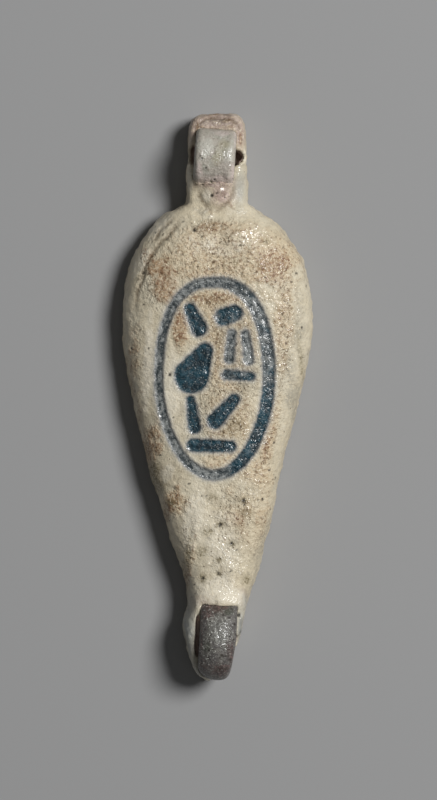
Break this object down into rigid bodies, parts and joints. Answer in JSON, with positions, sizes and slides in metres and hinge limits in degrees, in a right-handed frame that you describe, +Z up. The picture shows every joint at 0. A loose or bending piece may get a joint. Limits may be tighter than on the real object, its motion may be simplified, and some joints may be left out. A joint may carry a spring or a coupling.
{
  "type": "petal bead",
  "caption": "Flat-backed glazed bead shaped as a long petal, with a domed face, an inlaid oval of short strokes and a thread ring set crosswise at each end.",
  "frame": {"origin": "on the flat back, under the middle of the whole bead's length and width", "axes": "+Z up out of the domed face, +Y along the bead towards its broad end, +X to the right seen from the front"},
  "size_m": [0.017, 0.0512, 0.0064],
  "materials": {
    "cream_faience": "thin worn glaze, cream with tan and brown stains, inlaid with deep blue-green and grey-violet paste",
    "grey_faience": "satin grey-white glaze with fine pits",
    "purple_faience": "glossy dark violet-grey glaze with white grains"
  },
  "bodies": {
    "root": {"petal": "cream_faience", "upper_ring": "grey_faience", "lower_ring": "purple_faience"}
  },
  "joints": []
}
